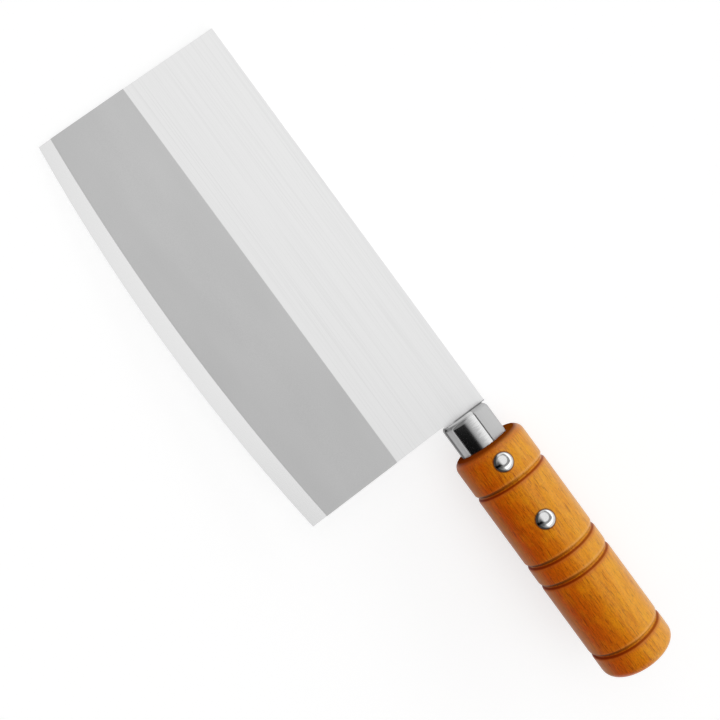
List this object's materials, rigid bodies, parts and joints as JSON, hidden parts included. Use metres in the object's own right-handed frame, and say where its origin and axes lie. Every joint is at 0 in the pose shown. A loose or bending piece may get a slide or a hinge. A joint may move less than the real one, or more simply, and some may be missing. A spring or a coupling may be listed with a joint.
{
  "type": "chinese cleaver",
  "caption": "Broad rectangular kitchen blade with a convex edge, a steel bolster and a round grooved wooden handle held by rivets.",
  "frame": {"origin": "on the handle's axis, where the blade's heel crosses it, in the middle plane of the blade", "axes": "+X from the tip to the butt of the handle, +Y from the edge to the spine, +Z out of the blade's upper face"},
  "size_m": [0.2994, 0.094, 0.0342],
  "materials": {
    "blade_steel": "lengthwise satin above the grind, matt blasted grind, polished strip along the edge",
    "bolster_steel": "polished round sides, satin facets",
    "handle_wood": "varnished beech, dark in the grooves",
    "rivet_steel": "polished"
  },
  "bodies": {
    "root": {"blade": "blade_steel", "bolster": "bolster_steel", "handle": "handle_wood", "front_rivet_tube": "rivet_steel", "front_rivet_pin": "rivet_steel", "rear_rivet_tube": "rivet_steel", "rear_rivet_pin": "rivet_steel"}
  },
  "joints": []
}
